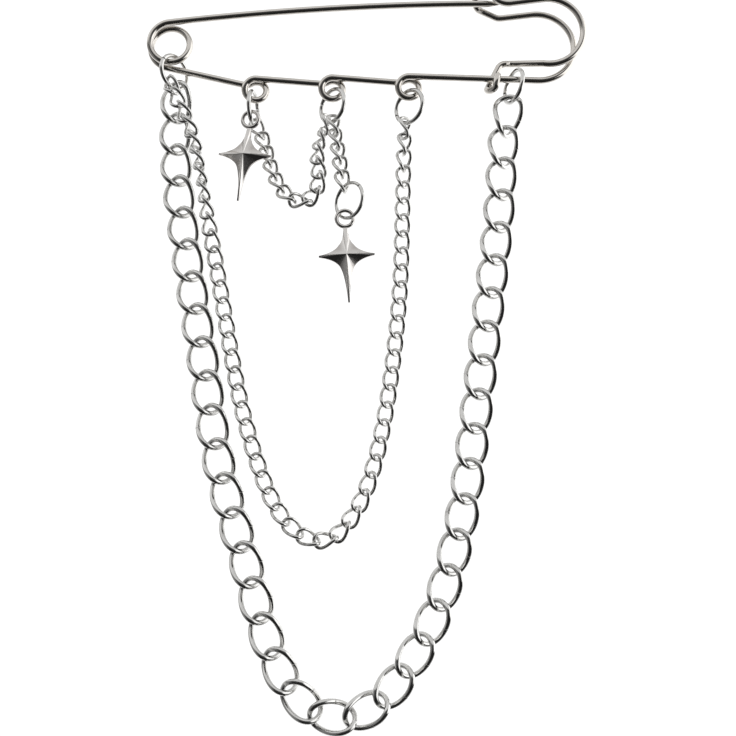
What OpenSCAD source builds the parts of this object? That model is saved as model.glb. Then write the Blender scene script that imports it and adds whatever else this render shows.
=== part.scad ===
// Lapel chain: a bent wire pin carries two long curb chains, a short swag and two star charms.
// The needle runs along X, Z points up and the front of the jewel faces -Y. Units are millimetres.
// The origin lies on the needle's centreline, in the middle of the stretch that goes through cloth.

/* [Pin wire] */
// Diameter of the spring wire that the whole pin is bent from
pin_wire_d = 1.15; // [1.05:0.05:1.25]
// Clear space between two turns of the pin wire that lie side by side
pin_wire_gap = 0.15; // [0.12:0.01:0.25]
// Length of the needle from the origin to its point
needle_front_len = 23; // [22:0.5:24]
// Length of the needle from the origin back to the coil
needle_back_len = 34.2; // [32:0.2:36]
// Rise of the needle at the origin, in degrees from the horizontal
needle_rise = 2.8; // [1.8:0.1:3.4]
// Radius of the needle's gentle bow
needle_bow_r = 450; // [380:10:700]
// Length of the ground point of the needle
needle_point_len = 3; // [2:0.5:5]
// Radius of the inner turn of the spring coil, to the wire's centre
coil_r = 3.05; // [2.8:0.05:3.3]
// How much further out the coil's two ends run than its inner turn
coil_flare = 0.75; // [0.5:0.05:1]

/* [Hanging loops] */
// Radius of each hanging loop in the lower bar, to the wire's centre
loop_r = 1.8; // [1.7:0.05:2]
// Distance from the origin to the first loop's centre, to the left
first_loop_x = 19.1; // [17.5:0.1:20]
// Distance from one loop's centre to the next
loop_pitch = 13; // [11.5:0.5:13.5]
// Depth of the loops' centres below the needle, at the middle loop
loop_drop = 14.8; // [14:0.1:15.5]
// Rise from one loop's centre to the next towards the head
loop_rise = 0.22; // [0:0.02:0.3]
// How far the bar comes in below the top of each loop
loop_dip = 0.45; // [0.3:0.05:0.7]
// Radius of the small bend where the bar turns up into a loop
loop_entry_r = 1.6; // [1.2:0.1:2]

/* [Head] */
// Distance from the origin to the centre of the head's back bend
head_back_x = 28.8; // [28:0.2:30]
// Radius of the head's back bend, to the wire's centre
head_back_r = 6.38; // [6.2:0.02:6.6]
// Distance from the back bend's centre to the front bend's centre, to the right
head_front_shift = 1.9; // [1.4:0.1:2.4]
// Distance from the back bend's centre up to the front bend's centre
head_front_lift = 2.05; // [1.8:0.05:2.3]
// Radius of the head's front bend, to the wire's centre
head_front_r = 5.85; // [5.7:0.05:6]
// Clear space on each side of the needle where the head grips it
head_needle_gap = 0.2; // [0.1:0.05:0.35]
// Height of the fold that goes over the needle, above the needle's centre
head_fold_height = 1.9; // [1.6:0.1:2.4]
// Depth of the hook's lowest point below the bar's centre
hook_depth = 1.9; // [1.5:0.1:2.4]
// Distance from the head's back bend's centre to the hook, to the left
hook_shift = 7.9; // [7.4:0.1:8.4]
// Drop of the lower bar from the top of the third loop to the head
bar_drop = 0.77; // [0.6:0.01:0.9]

/* [Jump rings] */
// Outer diameter of the five jump rings on the pin
ring_outer_d = 6.5; // [6.3:0.1:6.8]
// Wire diameter of the five jump rings on the pin
ring_wire_d = 0.75; // [0.65:0.05:0.8]
// Outer diameter of the large ring that holds the hanging star
drop_ring_outer_d = 6.65; // [6:0.05:7.2]
// Wire diameter of the large ring that holds the hanging star
drop_ring_wire_d = 0.65; // [0.55:0.05:0.7]
// Width of the saw cut in each jump ring
ring_cut = 0.1; // [0.06:0.02:0.2]
// Clear space between a ring and what hangs in it
ring_gap = 0.12; // [0.1:0.01:0.16]
// Distance from the head's back bend's centre to the head ring, to the left
head_ring_shift = 3.8; // [3.2:0.1:4.2]

/* [Long chain] */
// Outer length of a long chain link
long_link_len = 7.84; // [7.74:0.02:8]
// Outer width of a long chain link
long_link_w = 5.5; // [5.2:0.1:5.7]
// Wire diameter of a long chain link
long_wire_d = 0.9; // [0.8:0.05:0.95]
// Slack between two links of the long chain, measured along the chain
long_slack = 0.3; // [0.28:0.01:0.34]
// Depth of the long chain's lowest point below its ends
long_drop = 102.1; // [95:0.5:106]

/* [Fine chain] */
// Outer length of a fine chain link
fine_link_len = 4.36; // [4.3:0.02:4.44]
// Outer width of a fine chain link
fine_link_w = 2.85; // [2.75:0.05:3]
// Wire diameter of a fine chain link
fine_wire_d = 0.6; // [0.54:0.01:0.62]
// Slack between two links of a fine chain, measured along the chain
fine_slack = 0.24; // [0.22:0.01:0.28]
// Slack between two links of the swag, which hangs in a tight bend
swag_slack = 0.54; // [0.5:0.02:0.6]
// Depth of the inner chain's lowest point below its ends
inner_drop = 72.9; // [68:0.1:75]
// Depth of the swag's lowest point below its ends
swag_drop = 14.7; // [13.9:0.1:15.4]
// Number of links between the middle ring and the hanging star's ring
drop_links = 5; // [4:1:6]
// Slack between two links of the hanging star's short chain
drop_slack = 0.65; // [0.6:0.01:0.7]
// Sideways lean of the hanging star's short chain, in degrees
drop_lean = 8.5; // [4:0.5:12]

/* [Star charms] */
// Half the width of a star
star_half_w = 4.6; // [4:0.1:5]
// Length of a star's upper arm above its centre
star_up_len = 5; // [4.6:0.1:5.4]
// Length of a star's lower arm below its centre
star_down_len = 8; // [7.2:0.1:8.6]
// Distance from a star's centre out to its inner corners, sideways
star_corner_x = 1.25; // [1.1:0.05:1.5]
// Distance from a star's centre up and down to its inner corners
star_corner_z = 1.8; // [1.5:0.05:2.1]
// Height of the ridges' meeting point above a star's middle plane, on the front
star_front_h = 1.1; // [0.8:0.05:1.4]
// Height of the ridges' meeting point above a star's middle plane, on the back
star_back_h = 0.8; // [0.6:0.05:1.1]
// Thickness of a star along its edge
star_edge_t = 0.4; // [0.3:0.05:0.6]
// Outer diameter of the eye cast on top of a star
eye_outer_d = 3.5; // [3.4:0.05:3.8]
// Thickness of the eye cast on top of a star
eye_wire_d = 0.7; // [0.65:0.05:0.8]

/* [Hidden] */
$fn = 48;

pin_color = "silver";
chain_color = "lightsteelblue";
star_color = "darkgray";

// Sides of the swept wires and stations round one link
pin_sides = 6;
link_stations = 12;
long_sides = 5;
fine_stations = 10;
fine_sides = 5;
// Greatest turn between two rings of the swept pin wire, in degrees
bend_step = 16;

// Vectors and lists
function unit(v) = v / norm(v);
function mix(a, b, t) = a + (b - a) * t;
function last(list) = list[len(list) - 1];
function wrap360(angle) = angle - 360 * floor(angle / 360);

// Wire bends. A bend is [x, z, signed radius, extra whole turns, y at its start, y at its end].
// The radius is positive where the wire turns to the left, seen from the front, and 0 at a wire's end.
function bend_point(bend, heading, y) =
    [bend[0] + bend[2] * sin(heading), y, bend[1] - bend[2] * cos(heading)];
function run_heading(a, b) =
    let (dx = b[0] - a[0], dz = b[1] - a[1], reach = norm([dx, dz]))
    atan2(dz, dx) - acos(min(1, max(-1, (a[2] - b[2]) / reach))) + 90;
function bend_sweep(bend, heading_in, heading_out) =
    bend[2] > 0 ? wrap360(heading_out - heading_in) + 360 * bend[3]
    : -(wrap360(heading_in - heading_out) + 360 * bend[3]);
function bend_arc(bend, heading_in, heading_out) =
    bend[2] == 0 ? [bend_point(bend, 0, bend[4])]
    : let (sweep = bend_sweep(bend, heading_in, heading_out), steps = ceil(abs(sweep) / bend_step))
        [for (k = [0:steps])
            bend_point(bend, heading_in + sweep * k / steps, mix(bend[4], bend[5], k / steps))];
// Points along a row of bends, where each bend's arc meets the next along their common tangent
function bent_run(bends, heading_in, at = 0) =
    at == len(bends) - 1 ? [bend_point(bends[at], 0, bends[at][5])]
    : let (heading_out = run_heading(bends[at], bends[at + 1]))
        concat(bend_arc(bends[at], heading_in, heading_out), bent_run(bends, heading_out, at + 1));

// Needle and coil
pin_step = pin_wire_d + pin_wire_gap;
bow_turn = 180 / (PI * needle_bow_r);
bow_x = needle_bow_r * sin(needle_rise);
bow_z = -needle_bow_r * cos(needle_rise);
function needle_point(s) =
    let (a = 90 + needle_rise - s * bow_turn)
    [bow_x + needle_bow_r * cos(a), 0, bow_z + needle_bow_r * sin(a)];
needle_end_rise = needle_rise + needle_back_len * bow_turn;
coil_end_r = coil_r + coil_flare;
coil_x = needle_point(-needle_back_len)[0] + coil_end_r * sin(needle_end_rise);
coil_z = needle_point(-needle_back_len)[2] - coil_end_r * cos(needle_end_rise);
needle_runs = 7;
needle_marks = concat([0, 0.2, 0.5, 1] * needle_point_len,
    [for (k = [1:needle_runs]) mix(needle_point_len, needle_front_len + needle_back_len, k / needle_runs)]);
needle_points = [for (m = needle_marks) needle_point(needle_front_len - m)];

// Lower bar with its three loops
loop_count = 3;
loop_reach = loop_r + loop_entry_r;
loop_lead = acos(1 - loop_dip / loop_reach);
loop_step = pin_step + 0.1;
bar_front_y = 0.25;
bar_back_y = bar_front_y + loop_step * (1 + loop_lead / 360);
bar_mid_y = (bar_front_y + bar_back_y) / 2;
function loop_x(i) = i * loop_pitch - first_loop_x;
function loop_z(i) = (i - 1) * loop_rise - loop_drop;
function loop_bends(i) = [
    [loop_x(i) - loop_reach * sin(loop_lead), loop_z(i) + loop_reach * cos(loop_lead), loop_entry_r, 0,
        bar_back_y, bar_back_y],
    [loop_x(i), loop_z(i), -loop_r, 1, bar_back_y, bar_front_y]];

// Head: the wire folds over the needle and comes back to hook round the bar
needle_side = pin_wire_d + head_needle_gap;
bar_end_z = loop_z(2) + loop_r - bar_drop;
head_back_z = bar_end_z + head_back_r;
head_front_x = head_back_x + head_front_shift;
head_front_z = head_back_z + head_front_lift;
fold_r = 1.25;
fold_shift = 9.1;
fold_x = head_back_x - fold_shift;
fold_z = needle_point(fold_x)[2] + head_fold_height - fold_r;
// Bends that lead into and out of the fold: how far right of the fold, how far up, and their radii
fold_in = [3, 1.1, 1.8];
fold_out = [4.2, 1.7, 3];
hook_r = 0.65;
hook_x = head_back_x - hook_shift;
hook_z = bar_end_z - hook_depth + hook_r;
hook_y = pin_step;
// Bend before the hook: how far right of it, how far above the head's front bend, and its radius
hook_in = [2.7, -0.4, 1.5];
// The hook's cut end: how far right of the hook, how far above the bar, and the length that turns up
hook_end = [1, 0.5, 0.2];
head_bends = [
    [head_back_x, head_back_z, head_back_r, 0, bar_front_y, needle_side],
    [fold_x + fold_in[0], head_back_z + head_back_r + fold_in[1], -fold_in[2], 0, needle_side, needle_side],
    [fold_x, fold_z, -fold_r, 0, needle_side, -needle_side],
    [fold_x + fold_out[0], fold_z + fold_out[1], fold_out[2], 0, -needle_side, -needle_side],
    [head_front_x, head_front_z, -head_front_r, 0, -needle_side, -needle_side / 2],
    [hook_x + hook_in[0], head_front_z - head_front_r + hook_in[1], hook_in[2], 0,
        bar_front_y + hook_y, bar_front_y + hook_y],
    [hook_x, hook_z, hook_r, 0, bar_front_y + hook_y, bar_front_y - hook_y],
    [hook_x + hook_end[0], bar_end_z + hook_end[1], 0, 0, bar_front_y - hook_y, bar_front_y - hook_y],
    [hook_x + hook_end[0], bar_end_z + hook_end[1] + hook_end[2], 0, 0,
        bar_front_y - hook_y, bar_front_y - hook_y]];
bar_bends = concat([for (i = [0:loop_count - 1]) each loop_bends(i)], head_bends);

// Coil: the turn tightens from its ends to its middle, and moves back by a step for each turn
coil_bend = [coil_x, coil_z, coil_end_r, 1, 0, 0];
coil_heading = 180 + needle_end_rise;
coil_exit = run_heading(coil_bend, bar_bends[0]);
coil_sweep = bend_sweep(coil_bend, coil_heading, coil_exit);
coil_rows = ceil(coil_sweep / bend_step);
function coil_radius(t) = coil_r + coil_flare * (1 + cos(360 * t)) / 2;
coil_points = [for (k = [1:coil_rows])
    let (t = k / coil_rows)
    bend_point([coil_x, coil_z, coil_radius(t)], coil_heading + coil_sweep * t,
        pin_step * coil_sweep * t / 360)];

pin_points = concat(needle_points, coil_points, bent_run(bar_bends, coil_exit));
pin_shares = [for (i = [0:len(pin_points) - 1])
    i == 0 ? 0.25 : i == 1 ? 0.5 : i == 2 ? 0.78 : i == len(pin_points) - 1 ? 0.7 : 1];

// Round wire swept along open points, with its radius at each point a share of the wire's own
module swept_wire(points, shares, wire_d, sides) {
    count = len(points);
    rings = [for (i = [0:count - 1])
        let (ahead = unit(points[min(i + 1, count - 1)] - points[max(i - 1, 0)]),
            side = unit([-ahead[2], 0, ahead[0]]),
            across = cross(ahead, side))
        for (j = [0:sides - 1])
            points[i]
                + shares[i] * wire_d / 2 * (side * cos(360 * j / sides) + across * sin(360 * j / sides))];
    walls = [for (i = [0:count - 2], j = [0:sides - 1])
        let (k = (j + 1) % sides, a = i * sides, b = a + sides)
        each [[a + j, b + j, b + k], [a + j, b + k, a + k]]];
    caps = [[for (j = [0:sides - 1]) j], [for (j = [sides - 1:-1:0]) (count - 1) * sides + j]];
    polyhedron(concat(rings), concat(walls, caps), convexity = 20);
}

module pin_wire() {
    color(pin_color) swept_wire(pin_points, pin_shares, pin_wire_d, pin_sides);
}

// Jump rings. A ring hangs on a wire, turned about the vertical. It may lean out of its plane and ride up a
// little from its seat. Its pose is [centre, turn, lean, radius to the wire's centre].
ring_r = (ring_outer_d - ring_wire_d) / 2;
drop_ring_r = (drop_ring_outer_d - drop_ring_wire_d) / 2;
ring_seat = pin_wire_d / 2 + ring_wire_d / 2 + ring_gap;
function across(pose) = [cos(pose[1]), sin(pose[1]), 0];
function up(pose) = [-sin(pose[1]) * sin(pose[2]), cos(pose[1]) * sin(pose[2]), cos(pose[2])];
// Rows of [x, y, z of the wire that carries it, turn, lean, lift above its seat]
ring_rows = [
    [coil_x + 0.6, bar_mid_y, coil_z - coil_radius(0.34), 51, 0, 0.1],
    [loop_x(0) - 0.3, bar_mid_y, loop_z(0) - loop_r, 80, 0, 0.3],
    [loop_x(1) + 0.1, bar_mid_y, loop_z(1) - loop_r, -46, 0, 0.6],
    [loop_x(2) + 0.1, bar_mid_y, loop_z(2) - loop_r, -42, 0, 0.25],
    [head_back_x - head_ring_shift, bar_front_y, bar_end_z, -66, 8, 0.6]];
function ring_pose(i) =
    let (row = ring_rows[i], pose = [[0, 0, 0], row[3], row[4], ring_r])
    [[row[0], row[1], row[2] + ring_seat + row[5]] - ring_r * up(pose), row[3], row[4], ring_r];
// A point on a ring's centreline, at an angle from its bottom
function ring_point(pose, swing) =
    pose[0] + pose[3] * (across(pose) * sin(swing) - up(pose) * cos(swing));

module cut_ring(pose, wire_d, cut_at) {
    cut_angle = ring_cut / pose[3] * 180 / PI;
    color(chain_color)
        translate(pose[0]) rotate([90 - pose[2], 0, pose[1]])
            rotate([0, 0, cut_at + cut_angle / 2])
                rotate_extrude(angle = 360 - cut_angle) translate([pose[3], 0]) circle(d = wire_d);
}

module coil_ring() { cut_ring(ring_pose(0), ring_wire_d, 150); }
module loop_ring_1() { cut_ring(ring_pose(1), ring_wire_d, 20); }
module loop_ring_2() { cut_ring(ring_pose(2), ring_wire_d, 160); }
module loop_ring_3() { cut_ring(ring_pose(3), ring_wire_d, 200); }
module head_ring() { cut_ring(ring_pose(4), ring_wire_d, 185); }

// Curb chain links. A link's wire follows x = a cos t, y = b sin t, z = c sin 2t in its own axes,
// so that its two ends tilt opposite ways and each link passes through the next.
function link_inner_len(len, wire_d, slack) = len - 2 * wire_d - slack;
function link_twist(wire_d) = 1.17 * wire_d;
function link_centre_point(a, b, c, t) = [a * cos(t), b * sin(t), c * sin(2 * t)];
function link_section(a, b, c, t, wire_d, sides) =
    let (ahead = unit([-a * sin(t), b * cos(t), 2 * c * cos(2 * t)]),
        out = unit([b * cos(t), a * sin(t), 0]),
        side = unit(out - (out * ahead) * ahead),
        across = cross(ahead, side))
    [for (j = [0:sides - 1])
        link_centre_point(a, b, c, t)
            + wire_d / 2 * (side * cos(360 * j / sides) + across * sin(360 * j / sides))];
function link_faces(stations, sides) = [for (i = [0:stations - 1], j = [0:sides - 1])
    let (k = (j + 1) % sides, a = i * sides, b = ((i + 1) % stations) * sides)
    each [[a + j, b + k, b + j], [a + j, a + k, b + k]]];

// A link from joint to joint, with its face to the front before it is rolled about its length
module curb_link(from, to, roll, len, w, wire_d, stations, sides) {
    along = unit(to - from);
    front = unit([0, -1, 0] - along * (along * [0, -1, 0]));
    flat = cross(along, front);
    side = flat * cos(roll) + front * sin(roll);
    face = front * cos(roll) - flat * sin(roll);
    mid = (from + to) / 2;
    own = [for (i = [0:stations - 1])
        each link_section((len - wire_d) / 2, (w - wire_d) / 2, link_twist(wire_d),
            360 * (i + 0.5) / stations, wire_d, sides)];
    polyhedron([for (p = own) mid + along * p[0] + side * p[1] + face * p[2]],
        link_faces(stations, sides), convexity = 10);
}

// Chain routes. Each row is [share of the span, share of the drop, y beside the line between
// the two ends, roll of the links in degrees], chosen by hand along the hanging chain.
long_route = [
    [0, 0, 0, 5], [0, 0.07, 0.4, 0], [0.005, 0.143, 0.5, 0], [0.05, 0.3, 0.3, 0], [0.105, 0.465, 0.1, 0],
    [0.158, 0.628, 0, 0], [0.243, 0.782, 0, 0], [0.303, 0.892, 0, 0], [0.385, 0.975, 0, 0],
    [0.481, 1, 0, 0], [0.577, 0.987, 0, 0], [0.648, 0.945, 0, 0], [0.752, 0.85, 0, 0], [0.832, 0.7, 0, 0],
    [0.879, 0.53, 0, 0], [0.918, 0.37, 0, 0], [0.958, 0.2, 0, 0], [0.978, 0.06, 0, -12], [1, 0, 0, -28]];
inner_route = [
    [0, 0, 0, 5], [0.024, 0.03, -1, -7], [0.066, 0.075, -1.7, -38], [0.12, 0.141, -2, -68],
    [0.157, 0.23, -1.9, -80], [0.187, 0.32, -1.6, -45], [0.229, 0.433, -1.2, 0],
    [0.311, 0.664, -0.8, 0], [0.359, 0.772, -0.7, 5], [0.429, 0.884, -0.6, 10],
    [0.505, 0.96, -0.6, 15], [0.592, 0.997, -0.5, 15], [0.658, 1, -0.5, 30],
    [0.726, 0.98, -0.5, 30], [0.817, 0.9, -0.5, 15], [0.884, 0.78, -0.4, 5], [0.936, 0.615, -0.4, 0],
    [0.974, 0.413, -0.3, 0], [0.987, 0.22, -0.2, 0], [0.992, 0.12, 0, -20], [0.997, 0.05, 0, -60],
    [1, 0, 0, -90]];
swag_route = [
    [0, 0, 0, 20], [0.1, 0.16, 0.1, 36], [0.16, 0.326, 0.15, 42], [0.213, 0.485, 0.2, 46],
    [0.27, 0.62, 0.2, 50], [0.335, 0.75, 0.2, 48], [0.425, 0.87, 0.2, 40], [0.535, 0.955, 0.2, 32],
    [0.64, 0.997, 0.2, 24], [0.747, 0.982, 0.2, 22], [0.83, 0.925, 0.2, 22], [0.884, 0.838, 0.1, 22],
    [0.903, 0.735, 0.1, 24], [0.897, 0.63, 0, 32], [0.878, 0.525, 0, 42], [0.876, 0.41, 0, 53],
    [0.905, 0.29, 0, 64], [0.952, 0.165, 0, 74], [1, 0, 0, 85]];

// Smooth curve through the rows, its length, and points at equal lengths along it
function blend_row(rows, i, t) =
    let (n = len(rows) - 1,
        a = rows[max(i - 1, 0)], b = rows[i], c = rows[min(i + 1, n)], d = rows[min(i + 2, n)])
    0.5 * (2 * b + (c - a) * t + (2 * a - 5 * b + 4 * c - d) * t * t + (3 * b - a - 3 * c + d) * t * t * t);
route_steps = 8;
function fine_rows(rows) = concat([rows[0]],
    [for (i = [0:len(rows) - 2], k = [1:route_steps]) blend_row(rows, i, k / route_steps)]);
function placed_row(row, from, to, drop) =
    let (p = mix(from, to, row[0])) [p[0], p[1] + row[2], p[2] - drop * row[1], row[3]];
function place(row) = [row[0], row[1], row[2]];
function run_lengths(rows) =
    [for (i = 0, s = 0; i < len(rows); i = i + 1,
        s = i < len(rows) ? s + norm(place(rows[i]) - place(rows[i - 1])) : s) s];
function row_at(rows, lengths, s, i = 1) =
    i >= len(rows) - 1 || lengths[i] >= s
        ? mix(rows[i - 1], rows[i], (s - lengths[i - 1]) / (lengths[i] - lengths[i - 1]))
        : row_at(rows, lengths, s, i + 1);

// A chain of whole links from one ring to another, its links spread evenly over its length
module curb_chain(rows, from, to, drop, len, w, wire_d, slack, stations, sides) {
    curve = [for (row = fine_rows(rows)) placed_row(row, from, to, drop)];
    lengths = run_lengths(curve);
    count = ceil(last(lengths) / link_inner_len(len, wire_d, slack) - 0.01);
    joints = [for (k = [0:count]) row_at(curve, lengths, last(lengths) * k / count)];
    for (k = [0:count - 1])
        curb_link(place(joints[k]), place(joints[k + 1]), (joints[k][3] + joints[k + 1][3]) / 2,
            len, w, wire_d, stations, sides);
}

// The joint between a ring and the first link that hangs in it, a little above the ring's wire
function hung_joint(i, swing, gap) = ring_point(ring_pose(i), swing) + [0, 0, ring_wire_d / 2 + gap];

// Where each chain hangs in its rings: angle from the ring's bottom and height above the ring's wire, at
// the chain's left and then its right end
long_hang = [12, 0.05, -12, 0.05];
inner_hang = [-26, 0.2, -20, 0.1];
swag_hang = [18, 0.1, -32, 0.22];
drop_hang = [4, 0.05];

module long_chain() {
    color(chain_color)
        curb_chain(long_route, hung_joint(0, long_hang[0], long_hang[1]),
            hung_joint(4, long_hang[2], long_hang[3]), long_drop,
            long_link_len, long_link_w, long_wire_d, long_slack, link_stations, long_sides);
}

module fine_chain(rows, from, to, drop, slack = fine_slack) {
    color(chain_color)
        curb_chain(rows, from, to, drop, fine_link_len, fine_link_w, fine_wire_d, slack,
            fine_stations, fine_sides);
}

module inner_chain() {
    fine_chain(inner_route, hung_joint(0, inner_hang[0], inner_hang[1]),
        hung_joint(3, inner_hang[2], inner_hang[3]), inner_drop);
}

module swag_chain() {
    fine_chain(swag_route, hung_joint(1, swag_hang[0], swag_hang[1]),
        hung_joint(2, swag_hang[2], swag_hang[3]), swag_drop, swag_slack);
}

// Short chain down to the hanging star: its length is a whole number of links
drop_top = hung_joint(2, drop_hang[0], drop_hang[1]);
drop_len = drop_links * link_inner_len(fine_link_len, fine_wire_d, drop_slack);
drop_dir = [sin(drop_lean), 0, -cos(drop_lean)];
drop_end = drop_top + drop_dir * drop_len;
drop_route = [[0, 0, 0, 72], [1, 0, 0, 30]];
drop_ring_turn = -43;
drop_ring_swing = -25;
// The ring's point held by the last link, seen from the ring's centre
drop_ring_hold = ring_point([[0, 0, 0], drop_ring_turn, 0, drop_ring_r], 180 - drop_ring_swing);
drop_ring_pose = [drop_end + [0, 0, drop_ring_wire_d / 2] - drop_ring_hold, drop_ring_turn, 0, drop_ring_r];

module drop_chain() { fine_chain(drop_route, drop_top, drop_end, 0, drop_slack); }

module drop_ring() { cut_ring(drop_ring_pose, drop_ring_wire_d, 40); }

// Star charms. The outline runs from tip to inner corner in a hollow curve. The facets meet at the centre.
star_tip_w = 0.3;
star_neck_w = 0.7;
star_curve_steps = 4;
function quarter(tip_x, tip_z, corner, first) =
    let (mid_x = tip_x == 0 ? 0.32 * corner[0] : mix(corner[0], tip_x, 0.24),
        mid_z = tip_z == 0 ? 0.32 * corner[1] : mix(corner[1], tip_z, 0.24),
        shares = [for (k = [0:star_curve_steps]) k / star_curve_steps])
    [for (t = shares)
        (1 - t) * (1 - t) * first + 2 * t * (1 - t) * [mid_x, mid_z] + t * t * corner];
function flip(list) = [for (i = [len(list) - 1:-1:0]) list[i]];
function mirror_x(list) = [for (p = list) [-p[0], p[1]]];
function tail(list) = [for (i = [1:len(list) - 1]) list[i]];
upper_corner = [star_corner_x, star_corner_z];
lower_corner = [star_corner_x, -star_corner_z];
star_right = concat(
    quarter(0, star_up_len, upper_corner, [star_neck_w / 2, star_up_len]),
    tail(flip(quarter(star_half_w, 0, upper_corner, [star_half_w, star_tip_w / 2]))),
    quarter(star_half_w, 0, lower_corner, [star_half_w, -star_tip_w / 2]),
    tail(flip(quarter(0, -star_down_len, lower_corner, [star_tip_w / 2, -star_down_len]))));
star_outline = concat(star_right, flip(mirror_x(star_right)));

module star_body() {
    n = len(star_outline);
    front = [for (p = star_outline) [p[0], -star_edge_t / 2, p[1]]];
    back = [for (p = star_outline) [p[0], star_edge_t / 2, p[1]]];
    points = concat(front, back, [[0, -star_front_h, 0], [0, star_back_h, 0]]);
    faces = [for (i = [0:n - 1])
        let (k = (i + 1) % n)
        each [[i, k, 2 * n], [n + k, n + i, 2 * n + 1], [i, n + k, k], [i, n + i, n + k]]];
    polyhedron(points, faces, convexity = 10);
}

eye_r = (eye_outer_d - eye_wire_d) / 2;
eye_sink = 0.35;
eye_height = star_up_len + eye_outer_d / 2 - eye_sink;
// Depth of the eye's centre below the wire it hangs on, as a share of the free space in the eye
charm_hang = 0.12;

// A star that hangs by its eye from a ring's wire, tilted in its own plane and turned about the vertical
module star_charm(hook, wire_d, tilt, turn) {
    hang = charm_hang * (eye_r - eye_wire_d / 2 - wire_d / 2);
    color(star_color)
        translate(hook) rotate([0, 0, turn]) rotate([0, tilt, 0]) translate([0, 0, -eye_height - hang])
            union() {
                star_body();
                translate([0, 0, eye_height]) rotate([90, 0, 0])
                    rotate_extrude() translate([eye_r, 0]) circle(d = eye_wire_d);
            }
}

module star_charm_1() {
    star_charm(ring_point(ring_pose(1), -30), ring_wire_d, 7.5, -12);
}

module star_charm_2() {
    star_charm(ring_point(drop_ring_pose, -20), drop_ring_wire_d, -3, 0);
}

pin_wire();
coil_ring();
loop_ring_1();
loop_ring_2();
loop_ring_3();
head_ring();
long_chain();
inner_chain();
swag_chain();
drop_chain();
drop_ring();
star_charm_1();
star_charm_2();
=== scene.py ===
import math

import bpy
import numpy as np
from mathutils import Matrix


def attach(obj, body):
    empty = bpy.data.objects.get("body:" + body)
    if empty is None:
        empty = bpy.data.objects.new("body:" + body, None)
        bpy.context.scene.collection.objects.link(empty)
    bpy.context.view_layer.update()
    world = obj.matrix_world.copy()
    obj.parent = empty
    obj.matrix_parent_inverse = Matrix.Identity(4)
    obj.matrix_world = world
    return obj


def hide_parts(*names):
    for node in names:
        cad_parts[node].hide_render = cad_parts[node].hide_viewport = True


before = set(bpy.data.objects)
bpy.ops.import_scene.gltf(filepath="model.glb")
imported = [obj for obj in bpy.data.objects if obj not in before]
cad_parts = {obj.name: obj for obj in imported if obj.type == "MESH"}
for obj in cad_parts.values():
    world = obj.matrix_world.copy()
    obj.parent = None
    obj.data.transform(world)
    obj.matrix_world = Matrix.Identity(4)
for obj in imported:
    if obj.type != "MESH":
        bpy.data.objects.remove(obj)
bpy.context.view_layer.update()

# Lapel chain: a bent wire pin with a spring coil and three loops, jump rings, two long curb chains,
# a short swag and two star charms. Sizes below are millimetres and degrees; meshes are metres.
MM = 0.001


# Meshes
def unit(vectors):
    """Each vector divided by its length."""
    return vectors / np.linalg.norm(vectors, axis=-1, keepdims=True)


def grid_faces(rows, columns, wrap_rows, wrap_columns):
    """Four corner numbers of each cell of a grid, and the grid place of each corner before it wraps."""
    i, j = np.meshgrid(
        np.arange(rows if wrap_rows else rows - 1),
        np.arange(columns if wrap_columns else columns - 1),
        indexing="ij",
    )
    places = np.stack([[i, j], [i, j + 1], [i + 1, j + 1], [i + 1, j]])
    places = places.transpose(2, 3, 0, 1).reshape(-1, 4, 2)
    corners = (places[..., 0] % rows) * columns + places[..., 1] % columns
    return corners, places


def tube_sections(points, side, across, radii, sides):
    """Rings of a round wire: at each point, radius times (side cos v + across sin v) for v once round."""
    v = np.arange(sides) * 2 * np.pi / sides
    around = side[:, None] * np.cos(v)[None, :, None] + across[:, None] * np.sin(v)[None, :, None]
    return points[:, None] + radii[:, None, None] * around


def shaded_piece(name, points, faces, uv, marks, material):
    """One smooth mesh object in metres, with a UV map in millimetres of surface and marks on its points."""
    mesh = bpy.data.meshes.new(name)
    mesh.from_pydata((points * MM).tolist(), [], faces)
    mesh.polygons.foreach_set("use_smooth", np.ones(len(mesh.polygons), bool))
    layer = mesh.uv_layers.new(name="surface_mm")
    layer.data.foreach_set("uv", np.asarray(uv, np.float32).ravel())
    # Marks on the points: tone is a random plating tone, rub is wear that only changes roughness, and the
    # third is painted shade
    for mark in ("tone", "rub", "painted_shade"):
        values = np.broadcast_to(marks.get(mark, 0.0), len(points)).astype(np.float32)
        mesh.attributes.new(mark, "FLOAT", "POINT").data.foreach_set("value", values)
    mesh.materials.append(material)
    mesh.update()
    piece = bpy.data.objects.new(name, mesh)
    bpy.context.scene.collection.objects.link(piece)
    return piece


def wire_piece(name, points, side, across, radii, sides, marks, material):
    """An open wire: its rings joined along the line, each end closed by a fan to the end point."""
    rings = tube_sections(points, side, across, radii, sides)
    count = len(points)
    corners, places = grid_faces(count, sides, False, True)
    run = np.concatenate([[0], np.cumsum(np.linalg.norm(np.diff(points, axis=0), axis=1))])
    girth = 2 * np.pi * radii.max() / sides
    uv = np.stack([run[places[..., 0]], places[..., 1] * girth], -1).reshape(-1, 2)
    j = np.arange(sides)
    k = (j + 1) % sides
    first, last = count * sides, count * sides + 1
    start = np.stack([np.full(sides, first), k, j], -1)
    end = np.stack([np.full(sides, last), (count - 1) * sides + j, (count - 1) * sides + k], -1)
    fan_uv = np.stack([np.full(6 * sides, 0.0), np.tile(np.arange(3 * sides) * girth / 3, 2)], -1)
    all_points = np.concatenate([rings.reshape(-1, 3), points[:1], points[-1:]])
    faces = corners.tolist() + start.tolist() + end.tolist()
    marks = {k: np.concatenate([np.repeat(m, sides), m[:1], m[-1:]]) for k, m in marks.items()}
    return shaded_piece(name, all_points, faces, np.concatenate([uv, fan_uv]), marks, material)


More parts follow.
